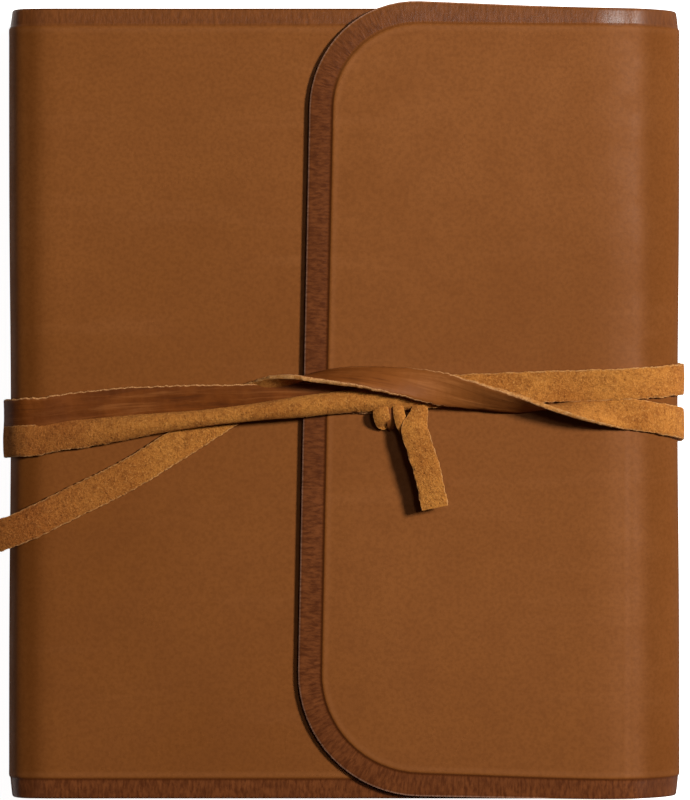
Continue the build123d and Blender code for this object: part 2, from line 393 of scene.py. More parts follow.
def paper():
    """Uncoated ivory paper with soft fibre."""
    n = Nodes("page_paper")
    fibre = n.noise(700, 4, 0.6)
    colour = n.mix(n.ramp(fibre, 0.3, 0.7), (236, 226, 203), (243, 235, 215))
    yellowed = n.ramp(n.noise(12, 3), 0.3, 0.7, 0, 0.3)
    colour = n.mix(yellowed, colour, (228, 215, 186))
    return n.finish(colour, 0.9, n.bump(fibre, 0.00003, 0.5), 0.2)


def card():
    """Brown card with long pale and dark fibres."""
    n = Nodes("refill_card")
    fibre = n.noise(1, 4, 0.7, at=n.stretch(220, 900, 220))
    colour = n.mix(n.ramp(fibre, 0.3, 0.7), (126, 92, 60), (158, 120, 82))
    colour = n.mix(n.ramp(n.noise(500, 2), 0.62, 0.7, 0, 0.7), colour, (88, 60, 38))
    return n.finish(colour, 0.85, n.bump(fibre, 0.00004, 0.6), 0.25)


def cloth():
    """Plain weave over the folds of the sections."""
    n = Nodes("spine_cloth_weave")
    weave = n.math("MAXIMUM", n.bands(320, 0.6, "Y"), n.bands(320, 0.6, "Z"))
    colour = n.mix(weave, (172, 164, 146), (226, 220, 204))
    return n.finish(colour, 0.9, n.bump(weave, 0.00012, 0.8), 0.2)


def thread():
    """Waxed linen thread, twisted."""
    n = Nodes("linen_thread")
    twist = n.bands(500, 1, "DIAGONAL")
    colour = n.mix(twist, (196, 184, 152), (232, 224, 198))
    return n.finish(colour, 0.6, n.bump(twist, 0.00008, 0.8), 0.5)


def floor_paint():
    """A white, matt floor that also glows to the camera, so that it stays pale beside the book."""
    n = Nodes("floor_paint")
    colour = n.mix(n.patches(3, 2), (250, 250, 249), (252, 252, 252))
    n.set(Base_Color=colour, Roughness=0.95, Specular_IOR_Level=0.1)
    seen = n.add("LightPath").outputs["Is Camera Ray"]
    n.set(Emission_Color=(1, 1, 1, 1), Emission_Strength=n.times(seen, 0.96))
    return n.material


LEATHER = [cover_leather(), flesh_leather(), cut_edge()]
STRAP_SIDES = [strap_grain(), suede(), strap_edge()]
PAPER = paper()


# ---- meshes


def new_object(name, data):
    item = bpy.data.objects.new(name, data)
    bpy.context.scene.collection.objects.link(item)
    return item


def make_object(name, points, faces, materials, face_materials=None, attributes=None, sharp=40):
    """A mesh object from points in millimetres, with one value per point for each named attribute."""
    mesh = bpy.data.meshes.new(name)
    mesh.from_pydata([tuple(np.asarray(p) * MM) for p in points], [], faces)
    for material in materials:
        mesh.materials.append(material)
    if face_materials is not None:
        mesh.polygons.foreach_set("material_index", face_materials)
    for key, values in (attributes or {}).items():
        mesh.attributes.new(key, "FLOAT", "POINT").data.foreach_set("value", values)
    mesh.shade_smooth()
    mesh.set_sharp_from_angle(angle=math.radians(sharp))
    mesh.validate()
    return new_object(name, mesh)


def closed_sheet(name, patches, place, materials, measure=None):
    """A sheet with an outside, an inside and rims. A patch is a grid of (s, y); place(s, y, depth) is its
    point, where depth is 0 outside and 1 inside. Patches join wherever they share a place."""
    index = {}
    outside = []
    for patch in patches:
        ids = [[index.setdefault((round(s, 3), round(y, 3)), len(index)) for s, y in row] for row in patch]
        for upper, lower in zip(ids, ids[1:]):
            outside += zip(upper, upper[1:], lower[1:], lower)
    count = len(index)
    points = [place(s, y, 0) for s, y in index] + [place(s, y, 1) for s, y in index]
    inside = [(d + count, c + count, b + count, a + count) for a, b, c, d in outside]
    directed = set()
    for face in outside:
        directed.update(zip(face, face[1:] + face[:1]))
    rims = [(b, a, a + count, b + count) for a, b in directed if (b, a) not in directed]
    faces = outside + inside + rims
    sides = [0] * len(outside) + [1] * len(inside) + [2] * len(rims)
    attributes = {}
    if measure is not None:
        measured = [measure(s, y) for s, y in index] * 2
        attributes = {key: [row[key] for row in measured] for key in measured[0]}
    return make_object(name, points, faces, materials, sides, attributes)


def tube_faces(first, rings, size):
    """The faces of a tube whose points, from number first on, are rings of size points each."""
    faces = []
    for ring in range(first, first + (rings - 1) * size, size):
        for i in range(size):
            k = (i + 1) % size
            faces.append((ring + i, ring + k, ring + size + k, ring + size + i))
    last = first + (rings - 1) * size
    faces.append(tuple(range(first + size - 1, first - 1, -1)))
    faces.append(tuple(range(last, last + size)))
    return faces


def stand_in(piece, nodes, slot, body=None):
    """The piece stands for CAD nodes, which are hidden, and rides on a body if one is given; slot is not
    used.
    """
    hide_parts(*nodes)
    if body is not None:
        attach(piece, body)


def bend(piece, first, second, start, end):
    """Bakes the piece's transform and puts the two (x, z) lines in metres; the piece is not made to bend, and
    first and second are not used.
    """
    start, end = [(x * MM, 0, z * MM) for x, z in (start, end)]
    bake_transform(piece)
    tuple(start)
    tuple(end)


def grid(lines_s, lines_y):
    return [[(s, y) for s in lines_s] for y in lines_y]


def steps(start, end, size):
    """Evenly spaced values from start to end, no further apart than size."""
    count = max(1, math.ceil(abs(end - start) / size))
    return [start + (end - start) * i / count for i in range(count + 1)]


# ---- the hide


def on_arc(x, z, radius, angle):
    """A point of an arc about (x, z), and the direction outward there."""
    out = (math.cos(angle), math.sin(angle))
    return (x + radius * out[0], z + radius * out[1]), out


def section_at(s):
    """Where the hide's outer surface is at s, seen from the tail: ((x, z), outward direction)."""
    if s <= FRONT_LENGTH:
        return (FORE_X - s, FRONT_OUT), (0, 1)
    if s <= WALL_START:
        return on_arc(SPINE_X, SPINE_HIGH_Z, SPINE_R, math.pi / 2 + (s - FRONT_LENGTH) / SPINE_R)
    if s <= WALL_START + WALL_LENGTH:
        return (SPINE_X - SPINE_R, SPINE_HIGH_Z - (s - WALL_START)), (-1, 0)
    if s <= BACK_START:
        return on_arc(SPINE_X, SPINE_LOW_Z, SPINE_R, math.pi + (s - WALL_START - WALL_LENGTH) / SPINE_R)
    if s <= FORE_START:
        return (SPINE_X + s - BACK_START, BACK_OUT), (0, -1)
    if s <= FLAP_START:
        return on_arc(FORE_X, FORE_Z, FORE_R, -math.pi / 2 + (s - FORE_START) / FORE_R)
    return (FORE_X - (s - FLAP_START), FLAP_OUT), (0, 1)


def flap_outline():
    """The flap's free outline in (x, y): straight edges and the centres of its two corners."""
    head = np.array([FLAP_EDGE_HEAD, HALF])
    tail = np.array([FLAP_EDGE_HEAD - FLAP_EDGE_SLANT, -HALF])
    run = (tail - head) / np.linalg.norm(tail - head)
    out = np.array([run[1], -run[0]])
    centres = []
    head_y = HALF - FLAP_CORNER_HEAD
    tail_y = FLAP_CORNER_TAIL - HALF
    for radius, y in ((FLAP_CORNER_HEAD, head_y), (FLAP_CORNER_TAIL, tail_y)):
        x = head[0] + (-radius - out[1] * (y - head[1])) / out[0]
        centres.append(np.array([x, y]))
    return head, run, out, centres


FLAP_HEAD, FLAP_RUN, FLAP_OUTWARD, (HEAD_CENTRE, TAIL_CENTRE) = flap_outline()
HEAD_SWEEP = math.pi / 2 - math.asin(FLAP_OUTWARD[1])
TAIL_SWEEP = math.pi - HEAD_SWEEP
EDGE_STRAIGHT = float((TAIL_CENTRE - HEAD_CENTRE) @ FLAP_RUN)


def flap_edge(x, y):
    """(distance to the flap's outline, distance along it from the fore-edge, whether it is the free edge)."""
    p = np.array([x, y])
    to_head = p - HEAD_CENTRE
    to_tail = p - TAIL_CENTRE
    head_arc_start = FORE_X - HEAD_CENTRE[0]
    edge_start = head_arc_start + FLAP_CORNER_HEAD * HEAD_SWEEP
    tail_arc_start = edge_start + EDGE_STRAIGHT
    if to_head[1] > 0 and to_head[0] < 0 and to_head @ FLAP_RUN < 0:
        turn = math.atan2(-to_head[0], to_head[1])
        return FLAP_CORNER_HEAD - np.linalg.norm(to_head), head_arc_start + FLAP_CORNER_HEAD * turn, True
    if to_tail[1] < 0 and to_tail[0] < 0 and to_tail @ FLAP_RUN > 0:
        turn = math.atan2(-to_tail[1], -to_tail[0])
        return FLAP_CORNER_TAIL - np.linalg.norm(to_tail), tail_arc_start + FLAP_CORNER_TAIL * turn, True
    side = -float((p - FLAP_HEAD) @ FLAP_OUTWARD)
    if side <= min(HALF - abs(y), BORDER_OFFSETS[-1]):
        return side, edge_start + float((p - HEAD_CENTRE) @ FLAP_RUN), True
    if y > 0:
        return HALF - y, FORE_X - x, False
    return HALF + y, tail_arc_start + FLAP_CORNER_TAIL * TAIL_SWEEP + x - TAIL_CENTRE[0], False


def hide_edge(s, y):
    """(distance to the hide's outline, distance along it, whether that is the flap's free edge)."""
    if s > FLAP_START:
        return flap_edge(FORE_X - (s - FLAP_START), y)
    if s < HALF - abs(y):
        return s, y, False
    along_flap = flap_edge(FORE_X, y)[1]
    beyond = FLAP_START - s
    return HALF - abs(y), along_flap - beyond if y > 0 else along_flap + beyond, False


def border_width(s, y):
    """The border narrows from the flap's free corners to the folds."""
    free = smooth((s - FLAP_START) / BORDER_WIDENING)
    if s > FLAP_START and hide_edge(s, y)[2]:
        return BORDER
    beside = BORDER_HEAD if y > 0 else BORDER_TAIL
    return beside + (BORDER - beside) * free


def hide_relief(distance, width):
    """How far the surface stands from its plane, this far from the outline: pressed border and worn rim."""
    pressed = -PRESS_DEPTH * (1 - smooth((distance - width + 0.4) / 0.8))
    slope = -BORDER_FALL * max(0, 1 - distance / width) ** 1.3
    lip = 0.03 * bell(distance, width + 1.1, 0.6)
    rim = -0.22 * (1 - min(distance / 0.5, 1)) ** 2
    return pressed + slope + lip + rim


def fold_tone_and_shade(s):
    """How much the leather is darkened at its folds, the spine's two corners and the fore-edge's round:
    partly the folds' own darker tone and partly painted shade, strongest along the middle of the fore-edge's
    round.
    """
    front_corner = 0.8 * bell(s, FRONT_LENGTH + 0.9, 3.3)
    back_corner = bell(s, BACK_START - 0.9, 3.3)
    fore_edge = 0.62 * smooth((s - FORE_START) / 8) * smooth((FLAP_START + 1.0 - s) / 8)
    # Painted shade: a dark line along the middle of the fore-edge's round, its outermost edge from above.
    fore_edge += 0.38 * bell(s, (FORE_START + FLAP_START) / 2, 3.5)
    return max(front_corner, back_corner, fore_edge)


def sag(x, rise):
    """How far the flap and the upper half of the fore-edge wrap come down; rise is how far they face up."""
    reach = (x - FORE_X) / SAG_RUN + 1
    drop = SAG * (reach**2 if reach < 1 else 2 * reach - 1) if reach > 0 else 0.0
    return drop * max(rise, 0) ** 2


def skive(s):
    """The hide is thinned on its inside at the spine's two folds, so that it lies flat when open."""
    front_corner = bell(s, FRONT_LENGTH + CORNER_LENGTH / 2, SKIVE_REACH)
    back_corner = bell(s, BACK_START - CORNER_LENGTH / 2, SKIVE_REACH)
    return SKIVE * (front_corner + back_corner)


def sway(x, y):
    """The slow unevenness of a soft cover, the same for all its layers."""
    broad = noise.noise(Vector((x / 62, y / 62, 3.7)))
    small = noise.noise(Vector((x / 24, y / 24, 9.1)))
    return 0.30 * broad + 0.10 * small


def hide_measure(s, y):
    """What the leather's colours follow: places in the border, folds darkened partly by painted shade, the
    polished head, and rims, one of them painted shade.
    """
    distance, along, _ = hide_edge(s, y)
    return {
        "edge_distance": distance * MM,
        "inside_border": (distance - border_width(s, y)) * MM,
        "edge_along": along * MM,
        "fold": fold_tone_and_shade(s),
        "polish": bell(s, FLAP_START + 5.6, 3.6) * (y > 0),
        "pale_rim": 0.85 * (1 - smooth(distance / 0.45)) * (s > FLAP_START + 25),
        # Painted shade along the front cover's outline.
        "dark_rim": 0.85 * (1 - smooth(distance / 0.55)) * (s < FRONT_LENGTH),
    }


def hide_place(s, y, depth):
    """A point of the hide; depth 0 is the outer face and 1 the inner face."""
    (x, z), out = section_at(s)
    distance = hide_edge(s, y)[0]
    if depth == 0.0:
        height = hide_relief(distance, border_width(s, y)) - FOLD_SINK * fold_tone_and_shade(s) * (s < WALL_START)
    else:
        height = -HIDE + skive(s)
    height += sway(x, y) * max(out[1], 0) ** 2
    height -= WAIST * bell(y, WAIST_Y, WAIST_REACH) * out[0] ** 2
    if s > FORE_START:
        height -= sag(x, out[1])
    reach = s - FLAP_START
    if reach > 0:
        ridge = bell(x, COVER_EDGE_X, 0.7) - 0.8 * bell(x, COVER_EDGE_X + 1.6, 0.9)
        height += COVER_EDGE_RIDGE * ridge * smooth((10.0 - y) / 30)
        height += FLAP_LIFT * smooth((reach - FLAP_LIFT_START) / FLAP_LIFT_RUN)
    shift = (FLAP_SKEW + FLAP_SPREAD * y / HALF) * smooth(reach / FLAP_SKEW_RUN)
    return (x + out[0] * height, y + shift, z + out[1] * height)


def flap_patches(flat_x):
    """The flap as a frame of offsets along its free outline and rows across its middle, up to x = flat_x.
    Also the y of the rows where it ends, for the rest of the hide."""
    corner_steps = 16
    columns = 26
    rows = []

    def outline(centre, radius, angle):
        normal = np.array([-math.sin(angle), math.cos(angle)])
        return centre + radius * normal, -normal

    for i in range(columns):
        x = flat_x + (HEAD_CENTRE[0] - flat_x) * i / columns
        rows.append((np.array([x, HALF]), np.array([0, -1.0])))
    first_row = len(rows)
    for i in range(corner_steps + 1):
        rows.append(outline(HEAD_CENTRE, FLAP_CORNER_HEAD, HEAD_SWEEP * i / corner_steps))
    start = rows[-1][0]
    edge_steps = math.ceil(EDGE_STRAIGHT / 3.5)
    for i in range(1, edge_steps):
        rows.append((start + FLAP_RUN * EDGE_STRAIGHT * i / edge_steps, -FLAP_OUTWARD))
    for i in range(corner_steps + 1):
        rows.append(outline(TAIL_CENTRE, FLAP_CORNER_TAIL, HEAD_SWEEP + TAIL_SWEEP * i / corner_steps))
    last_row = len(rows) - 1
    for i in range(1, columns + 1):
        x = TAIL_CENTRE[0] + (flat_x - TAIL_CENTRE[0]) * i / columns
        rows.append((np.array([x, -HALF]), np.array([0, 1.0])))

    def flat(p):
        return (FLAP_START + FORE_X - float(p[0]), float(p[1]))

    border = [[flat(p + inward * offset) for offset in BORDER_OFFSETS] for p, inward in rows]
    middle = []
    for p, inward in rows[first_row : last_row + 1]:
        q = p + inward * BORDER_OFFSETS[-1]
        middle.append([flat(q + (np.array([flat_x, q[1]]) - q) * i / columns) for i in range(columns + 1)])
    lines_y = [y for s, y in border[0]] + [row[0][1] for row in middle[1:-1]]
    lines_y += [y for s, y in border[-1]][::-1]
    return [border, middle], lines_y


FLAT_X = FORE_X - 7.0
FLAP_PATCHES, LINES_Y = flap_patches(FLAT_X)


def hide_pieces():
    """The hide in four closed pieces that meet where nothing bends. Each is curved round one fold."""
    wall_middle = WALL_START + WALL_LENGTH / 2
    wall_end = WALL_START + WALL_LENGTH
    back_middle = BACK_START + FRONT_LENGTH / 2
    fore_middle = (FORE_START + FLAP_START) / 2
    free = list(BORDER_OFFSETS) + steps(BORDER_OFFSETS[-1], FRONT_LENGTH, 3.5)[1:]
    front = free + steps(FRONT_LENGTH, WALL_START, 0.6)[1:] + steps(WALL_START, wall_middle, 1.5)[1:]
    back = steps(wall_middle, wall_end, 1.5) + steps(wall_end, BACK_START, 0.6)[1:]
    back += steps(BACK_START, back_middle, 3.5)[1:]
    fore = steps(back_middle, FORE_START, 3.5) + steps(FORE_START, fore_middle, 0.8)[1:]
    over = steps(fore_middle, FLAP_START, 0.8) + steps(FLAP_START, FLAP_START + FORE_X - FLAT_X, 0.4)[1:]
    for name, patches, nodes, fold in (
        ("hide_front", [grid(front, LINES_Y)], ["front_panel"], SPINE_FRONT_FOLD),
        ("hide_back", [grid(back, LINES_Y)], ["back_panel", "spine_panel"], SPINE_BACK_FOLD),
        ("hide_fore_edge", [grid(fore, LINES_Y)], ["fore_edge_panel"], FORE_BACK_FOLD),
        ("hide_flap", [grid(over, LINES_Y)] + FLAP_PATCHES, ["flap_panel"], FORE_FRONT_FOLD),
    ):
        piece = closed_sheet(name, patches, hide_place, LEATHER, hide_measure)
        stand_in(piece, nodes, "cover_leather")
        bend(piece, *fold)


# ---- the pockets and the refill


def pocket_piece(node, leaf_z, cover_z, body):
    """A leather sleeve: it follows the card and comes down to the cover at its three glued margins."""
    low, high = node_box(node)
    rise = 1.0 if leaf_z > cover_z else -1.0
    edge = HALF - 0.6
    thickness = 0.95
    glued_thickness = 0.85
    glued_margin = 2.0
    slope_run = 6.0

    def place(x, y, depth):
        margin = min(edge - abs(y), high[0] - x)
        glued = 1 - smooth((margin - glued_margin) / slope_run)
        base = cover_z + rise * 0.05
        face = leaf_z + rise * (1.0 + 0.075 * math.sin(x / 31) * math.cos(y / 47))
        top = face * (1 - glued) + (base + rise * glued_thickness) * glued
        under = (face - rise * thickness) * (1 - glued) + base * glued
        return (x, y, top if depth == 0.0 else under)

    rim = (0, 0.3, 1, 2)
    lines_y = [edge - r for r in rim] + steps(edge - 3, 3 - edge, 3) + [r - edge for r in rim[::-1]]
    lines_x = [low[0] + r for r in rim[:3]] + steps(low[0] + 2, high[0] - 9, 3)
    lines_x += steps(high[0] - 9, high[0], 1)[1:]
    if rise > 0:
        lines_y = lines_y[::-1]
    hide, flesh, cut = LEATHER
    piece = closed_sheet(node + "_leather", [grid(lines_x, lines_y)], place, [flesh, hide, cut])
    stand_in(piece, [node], "lining_leather", body)


def folded_sheet(x0, x1, z0, z1, thickness, half):
    """Points and faces of one folded sheet of paper: a thin U in section, with its fold at x0."""
    middle = (z0 + z1) / 2
    centre = x0 + (z1 - z0) / 2
    turns = [math.pi / 2 + math.pi * i / 8 for i in range(9)]

    def half_section(radius):
        fold = [on_arc(centre, middle, radius, angle)[0] for angle in turns]
        return [(x1, middle + radius)] + fold + [(x1, middle - radius)]

    outer = half_section((z1 - z0) / 2)
    inner = half_section((z1 - z0) / 2 - thickness)
    count = len(outer)
    points = []
    for y in (-half, half):
        points += [(x, y, z) for x, z in outer] + [(x, y, z) for x, z in inner]
    far = 2 * count
    faces = []
    for i in range(count - 1):
        faces.append((i, i + 1, far + i + 1, far + i))
        faces.append((count + i + 1, count + i, far + count + i, far + count + i + 1))
        faces.append((i + 1, i, count + i, count + i + 1))
        faces.append((far + i, far + i + 1, far + count + i + 1, far + count + i))
    faces.append((0, far, far + count, count))
    faces.append((count - 1, 2 * count - 1, far + 2 * count - 1, far + count - 1))
    return points, faces


def page_sections():
    """Each section is nested folded sheets, cut a little unevenly."""
    dice = random.Random(7)
    sheets = 7
    filling = 0.8  # the share of the room that paper takes up
    uneven = 0.25
    for number in range(1, 9):
        node = f"page_section_{number}"
        low, high = node_box(node)
        pitch = (high[2] - low[2]) / 2 / sheets
        points, faces = [], []
        for i in range(sheets):
            inset = i * pitch
            half = high[1] - dice.uniform(0, uneven)
            x1 = high[0] - dice.uniform(0, uneven)
            sheet = folded_sheet(low[0] + inset, x1, low[2] + inset, high[2] - inset, pitch * filling, half)
            first = len(points)
            points += sheet[0]
            faces += [tuple(v + first for v in face) for face in sheet[1]]
        piece = make_object(node + "_sheets", points, faces, [PAPER], sharp=50)
        stand_in(piece, [node], "paper", "back_cover" if number <= 4 else "front_pages")


def spine_cloth():
    """The cloth over the folds of the sections."""
    low, high = node_box("spine_cloth")

    def place(z, y, depth):
        ripple = 0.04 * math.sin(y / 2.3) * math.sin(z / 1.7)
        return (low[0] + ripple + depth * (high[0] - low[0]), y, z)

    patch = grid(steps(low[2], high[2], 0.8), steps(low[1], high[1], 2))
    return closed_sheet("spine_cloth_strip", [patch], place, [cloth()] * 3)


def binding_thread():
    """Four stitches over the cloth, which wander a little."""
    low, high = node_box("binding_thread")
    radius = (high[0] - low[0]) / 2
    centre_x = (high[0] + low[0]) / 2
    heights = steps(low[2], high[2], 0.6)
    sides = 8
    points, faces = [], []
    for y in (-90, -30, 30, 90):
        faces += tube_faces(len(points), len(heights), sides)
        for z in heights:
            wander = 0.12 * math.sin(z * 2.6)
            for i in range(sides):
                angle = 2 * math.pi * i / sides
                points.append((centre_x + radius * math.cos(angle), y + wander + radius * math.sin(angle), z))
    return make_object("binding_thread_twist", points, faces, [thread()])


def spine_binding():
    """Cloth and thread over the folds of the sections; the middle line where they would bend is worked out,
    but nothing makes them bend.
    """
    low, high = node_box("spine_cloth")
    middle = (low[2] + high[2]) / 2
    bend_reach = 1.0
    for piece, node, slot in (
        (spine_cloth(), "spine_cloth", "cloth"),
        (binding_thread(), "binding_thread", "thread"),
    ):
        x = node_box(node)[1][0]
        stand_in(piece, [node], slot)
        bend(piece, "back_cover", "front_pages", (x, middle - bend_reach), (x, middle + bend_reach))


def refill():
    """The pockets with the notebook in them."""
    pocket_thickness = 1.0
    back_face = node_box("back_pocket")[1][2]
    front_face = node_box("front_pocket")[0][2]
    pocket_piece("back_pocket", back_face - pocket_thickness, back_high[2], "back_cover")
    pocket_piece("front_pocket", front_face + pocket_thickness, front_low[2], "front_cover")
    page_sections()
    spine_binding()
    board = card()
    for node in ("refill_back_card", "refill_front_card"):
        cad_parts[node].data.materials.clear()
        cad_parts[node].data.materials.append(board)


# ---- the strap

GRAIN, SUEDE = 0, 180  # roll at which that side faces out
STRAP_WIDTH = 9.1
STRAP_CORE = 1.4  # thickness of the lace
LACE_OFF = STRAP_CORE / 2 + 0.1
FRONT_LACE_Z = FRONT_OUT + LACE_OFF
FLAP_LACE_Z = FLAP_OUT + LACE_OFF
UNDER_LACE_Z = STRAP / 2


def lace_section():
    """The lace's section, anticlockwise: (across -1..1, height -1..1, side of the face that starts there)."""
    suede_face = [(u, -1, 1) for u in np.linspace(-0.95, 0.95, 11)]
    head_edge = [(0.985, -0.65, 1), (1, 0, 1), (0.985, 0.6, 2)]
    grain_face = [(u, 1, 0) for u in np.linspace(0.92, -0.92, 11)]
    tail_edge = [(-0.985, 0.6, 1), (-1, 0, 1), (-0.985, -0.65, 1)]
    grain_face[-1] = (*grain_face[-1][:2], 2)
    return suede_face + head_edge + grain_face + tail_edge


LACE = lace_section()


def smooth_path(keys, size):
    """A smooth curve through the rows of keys, about size apart, and the row at which each key falls."""
    keys = np.asarray(keys, float)
    knots = np.concatenate([[0.0], np.cumsum(np.linalg.norm(np.diff(keys[:, :3], axis=0), axis=1))])
    chords = np.diff(keys, axis=0) / np.diff(knots)[:, None]
    gaps = np.diff(knots)[:, None]
    between = (chords[:-1] * gaps[1:] + chords[1:] * gaps[:-1]) / (gaps[1:] + gaps[:-1])
    slopes = np.vstack([chords[:1], between, chords[-1:]])
    rows, marks = [], []
    for i, gap in enumerate(np.diff(knots)):
        count = max(2, math.ceil(gap / size))
        marks.append(len(rows))
        for t in np.arange(count) / count:
            start = (1 + 2 * t) * (1 - t) ** 2 * keys[i] + t * (1 - t) ** 2 * gap * slopes[i]
            end = t * t * (3 - 2 * t) * keys[i + 1] - t * t * (1 - t) * gap * slopes[i + 1]
            rows.append(start + end)
    marks.append(len(rows))
    rows.append(keys[-1])
    return np.array(rows), marks


def lace_rows(keys, size=0.5):
    """Rows along a lace, with its direction and the distance travelled. Keys are x, y, z, out x, out z, roll,
    cup, width: roll turns the grain side from out, and cup is how far the section curls, in degrees."""
    rows, marks = smooth_path(keys, size)
    tangent = np.gradient(rows[:, :3], axis=0)
    tangent /= np.linalg.norm(tangent, axis=1)[:, None]
    travel = np.concatenate([[0.0], np.cumsum(np.linalg.norm(np.diff(rows[:, :3], axis=0), axis=1))])
    return np.column_stack([rows, tangent, travel]), marks


def lace_ring(row, seed):
    """The points of the lace's section at one row."""
    centre, tangent, travel = row[:3], row[8:11], row[11]
    out = np.array([row[3], 0, row[4]])
    out -= (out @ tangent) * tangent
    out /= np.linalg.norm(out)
    across = np.cross(out, tangent)
    roll = math.radians(row[5])
    cup = math.radians(row[6]) or 1e-4
    grain = math.cos(roll) * out - math.sin(roll) * across
    span = math.cos(roll) * across + math.sin(roll) * out
    radius = row[7] / cup
    ring = []
    for u, height, _ in LACE:
        reach = u
        if abs(u) > 0.9:
            edge = Vector((travel / 5, 7.0 * (u > 0), seed))
            uneven = 0.20 * noise.noise(edge) + 0.28 * noise.noise(edge * 4.3)
            uneven += 0.16 * noise.noise(edge * 8)
            reach *= 1 + uneven / 4.5  # uneven is in millimetres, reach in half widths
        angle = reach * cup / 2
        fuzz = 1 + 0.10 * noise.noise(Vector((travel * 1.1, u * 5, height + seed)))
        normal = math.cos(angle) * grain - math.sin(angle) * span
        middle = radius * math.sin(angle) * span + radius * (1 - math.cos(angle)) * grain
        ring.append(centre + middle + STRAP_CORE / 2 * height * fuzz * normal)
    return ring


def lace_piece(name, stretches, nodes, body=None, seed=1):
    """One or more stretches of lace as one piece."""
    points, faces, sides, alongs, acrosses = [], [], [], [], []
    size = len(LACE)
    for rows in stretches:
        faces += tube_faces(len(points), len(rows), size)
        sides += [side for _, _, side in LACE] * (len(rows) - 1) + [2, 2]
        for row in rows:
            points += lace_ring(row, seed)
            alongs += [row[11] * MM] * size
            acrosses += [u * STRAP_WIDTH / 2 * MM for u, _, _ in LACE]
    attributes = {"along": alongs, "across": acrosses}
    piece = make_object(name, points, faces, STRAP_SIDES, sides, attributes, sharp=60)
    stand_in(piece, nodes, "strap_leather", body)
    return piece


def on_front(stations):
    """Keys over the front, where out is up, from x, y, z, roll, cup and a width where it isn't full."""
    keys = []
    for x, y, z, roll, cup, *width in stations:
        keys.append((x, y, z, 0, 1, roll, cup, *(width or [STRAP_WIDTH])))
    return keys


def third_run():
    """From the cut loose end, under the other runs, up over the flap with a whole twist."""
    low = FRONT_LACE_Z
    high = FLAP_LACE_Z
    out = -SUEDE
    return on_front([
        (-136, -49, 2.4, out, 12),
        (-125, -46.3, 8, out, 12),
        (-113, -42.8, low - 9, out, 14),
        (-101, -38.6, low - 1.2, out, 14),
        (-90.8, -34.7, low + 0.3, out, 16),
        (-81.3, -29.9, low + 0.1, out, 16),
        (-62.8, -20.7, low, out, 14),
        (-47.7, -11.4, low, out, 10),
        (-34.2, -2.8, low, out + 2, 10),
        (-25.5, 2.3, low + 0.3, out + 14, 14, 8.8),
        (-20.5, 5, low + 2.2, out + 44, 20, 8.4),
        (-14.5, 6.9, high + 2.6, -104, 10, 8),
        (-8.5, 7.8, high + 3.7, -76, -15, 8),
        (-1, 8, high + 4.1, -58, -20, 8.4),
        (12.8, 6.9, high + 4.2, -34, -30),
        (25.5, 4.6, high + 4, -2, -30, 9.5),
        (38.3, 1.9, high + 3.9, 36, -25),
        (51, -0.4, high + 3.6, 62, -10, 8.4),
        (58.8, -1.2, high + 3.3, 92, 0, 7.8),
        (66.7, -1.8, high + 2.9, 122, 10, 8.2),
        (73.9, -2.4, high + 1.6, 145, 12, 8.8),
    ])


def second_run():
    """From the spine to the fore-edge, suede out, curled where it lies over the first run."""
    low = FRONT_LACE_Z
    high = FLAP_LACE_Z
    return on_front([
        (-86.8, -9.9, low + 0.9, SUEDE - 4, 40),
        (-70.9, -7.8, low + 2.3, SUEDE - 8, 125, 8.7),
        (-56.4, -5.6, low + 3.5, SUEDE - 10, 190, 8),
        (-41.9, -4, low + 4.2, SUEDE - 12, 230, 7.2),
        (-27.4, -2.3, low + 4.8, SUEDE - 12, 225, 7.2),
        (-13, -0.5, high + 3.5, SUEDE - 12, 190, 8),
        (-1.4, 0.9, high + 3.3, SUEDE - 12, 180, 8.2),
        (14, 2.2, high + 2.6, SUEDE - 8, 135, 8.8),
        (28, 3.5, high + 1.8, SUEDE - 4, 70),
        (45, 4.3, high + 0.7, SUEDE, 15),
        (61.2, 4.9, high + 0.2, SUEDE, 10),
    ])


def first_run():
    """From the spine to the knot, grain side out."""
    low = FRONT_LACE_Z
    high = FLAP_LACE_Z
    out = GRAIN + 360
    return on_front([
        (-77.5, -1.3, low + 0.1, out + 2, -10),
        (-62.8, 0.1, low + 0.2, out + 4, -12),
        (-45, 0.8, low + 0.7, out + 6, -14),
        (-26.3, 1.1, low + 1.7, out + 6, -14),
        (-11.2, 1.5, high + 0.3, out + 4, -14),
        (4, 1.6, high + 0.2, out, -10),
        (16, 1, high + 0.1, out, -10),
    ])


def round_fore_edge(y_front, y_edge, y_back, roll):
    """Keys round the fore-edge, from the front to the back."""
    keys = []
    for degrees in range(90, -91, -15):
        angle = math.radians(degrees)
        share = abs(degrees) / 90
        y = y_edge + ((y_front if degrees > 0 else y_back) - y_edge) * share
        x = FORE_X + FORE_R * math.cos(angle)
        radius = FORE_R + LACE_OFF - sag(x, math.sin(angle))
        (x, z), out = on_arc(FORE_X, FORE_Z, radius, angle)
        keys.append((x, y, z, *out, roll, 8, STRAP_WIDTH))
    return keys


def round_spine(y_back, y_front, rise, roll):
    """Keys round the spine, from the back to the front."""
    back_turn = [(degrees, SPINE_LOW_Z) for degrees in range(270, 179, -15)]
    front_turn = [(degrees, SPINE_HIGH_Z) for degrees in range(180, 89, -15)]
    keys = []
    for number, (degrees, height) in enumerate(back_turn + front_turn):
        share = number / 13
        radius = SPINE_R + LACE_OFF + rise * share
        (x, z), out = on_arc(SPINE_X, height, radius, math.radians(degrees))
        y = y_back + (y_front - y_back) * share
        keys.append((x, y, z, *out, roll, 8 + 12 * rise * share, STRAP_WIDTH))
    return keys


